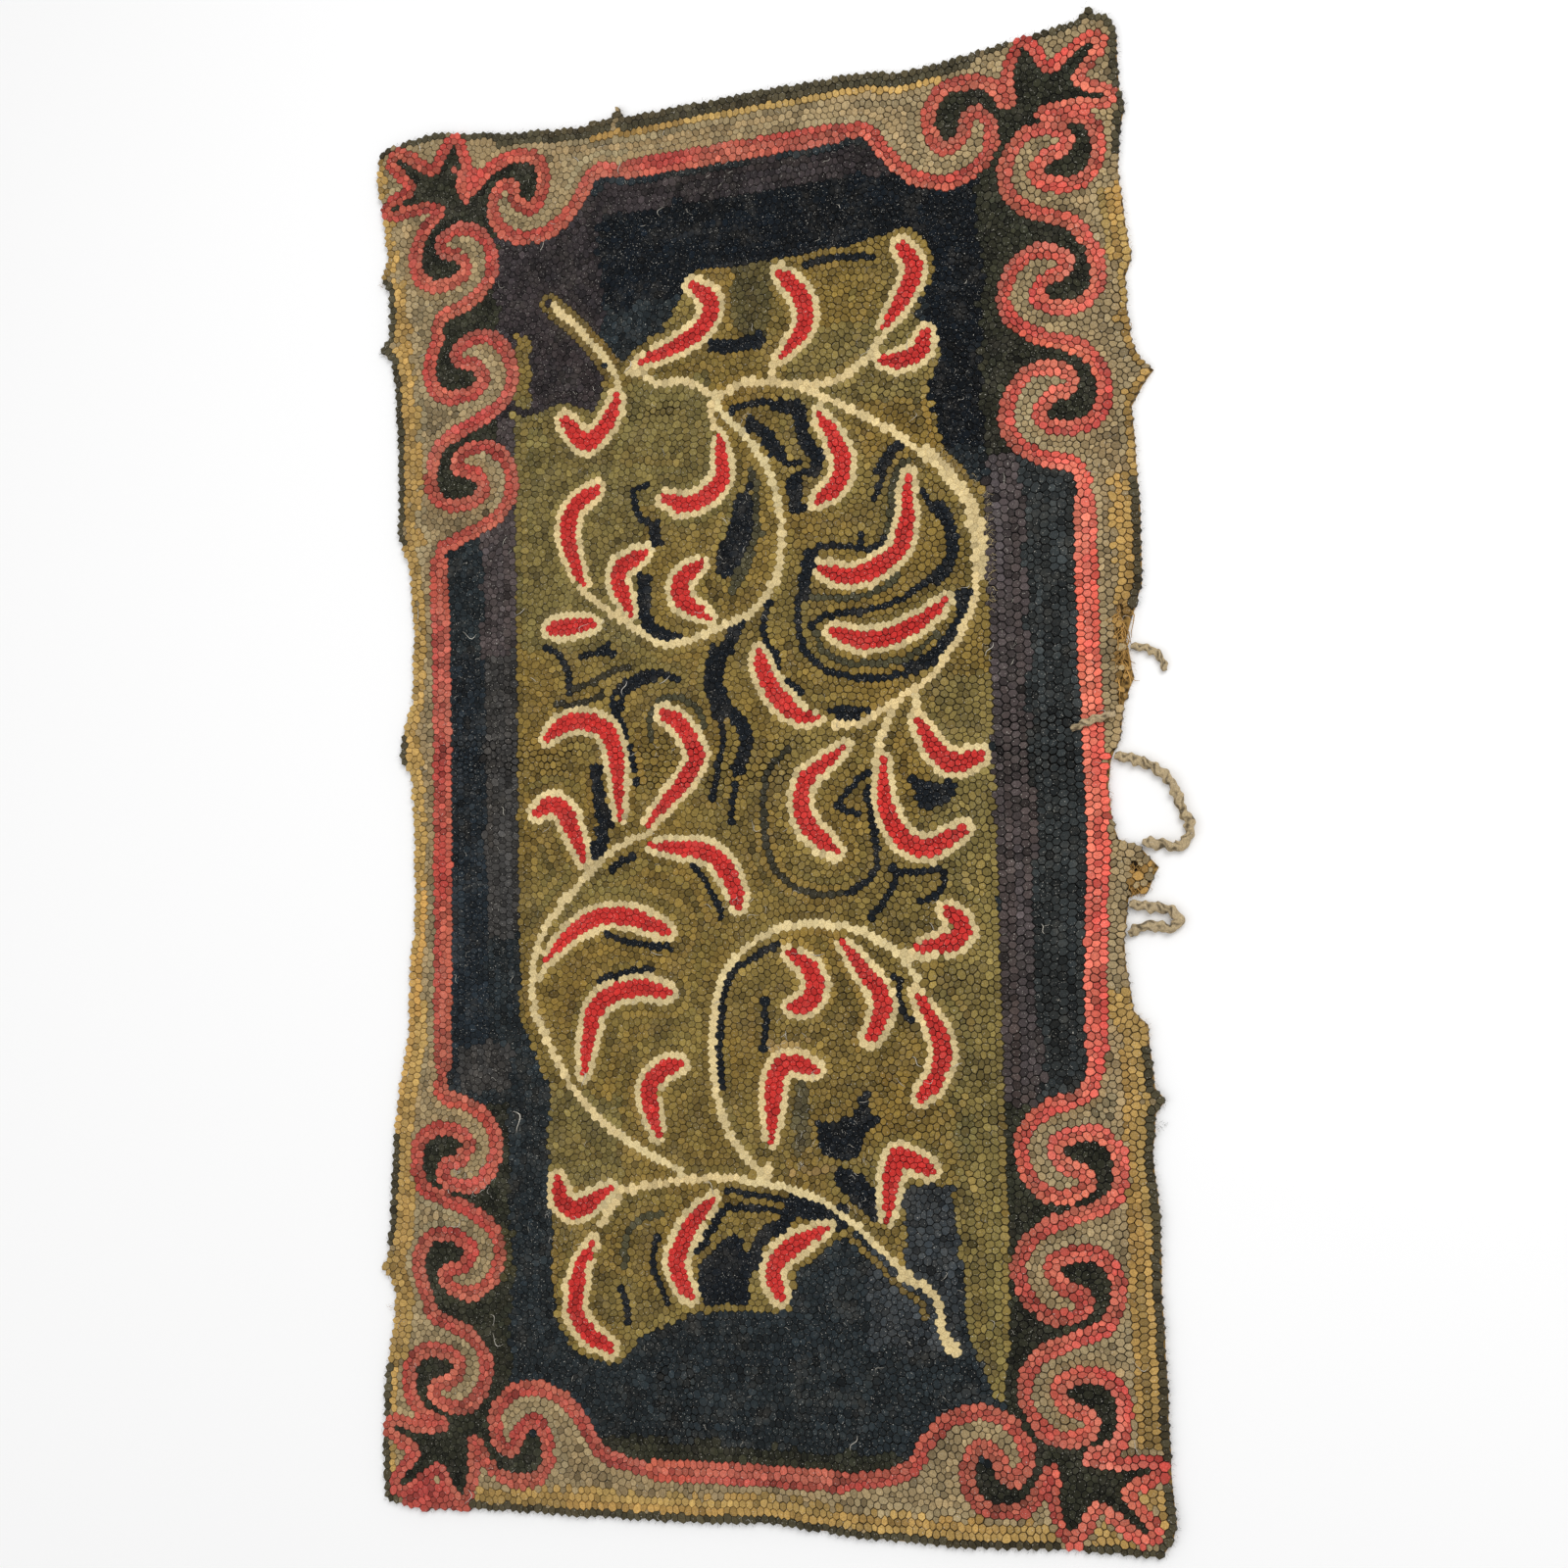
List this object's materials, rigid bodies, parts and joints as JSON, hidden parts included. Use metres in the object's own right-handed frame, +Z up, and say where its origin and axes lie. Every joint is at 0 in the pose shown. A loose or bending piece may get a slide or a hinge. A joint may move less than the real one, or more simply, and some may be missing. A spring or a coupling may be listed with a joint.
{
  "type": "hooked rug",
  "caption": "Flat rectangular wool hooked rug: leafy vine on an olive field, dark surround, scroll border, worn right side with loose strips",
  "frame": {"origin": "on the floor under the middle of the rug's outline, without its loose strips", "axes": "+Y along the rug's length to its top edge, +X across it to the worn right side, +Z up through the pile"},
  "size_m": [0.8114, 1.394, 0.0144],
  "materials": {
    "wool_pile": "matt looped wool pile in olive, navy, rose, red, cream, beige and gold on a tan foundation",
    "loose_wool": "matt beige wool strip, pulled loose"
  },
  "bodies": {
    "root": {"hooked_ground": "wool_pile", "loose_long_loop": "loose_wool", "loose_doubled_loop": "loose_wool", "loose_short_end": "loose_wool", "loose_border_end": "loose_wool"}
  },
  "joints": []
}
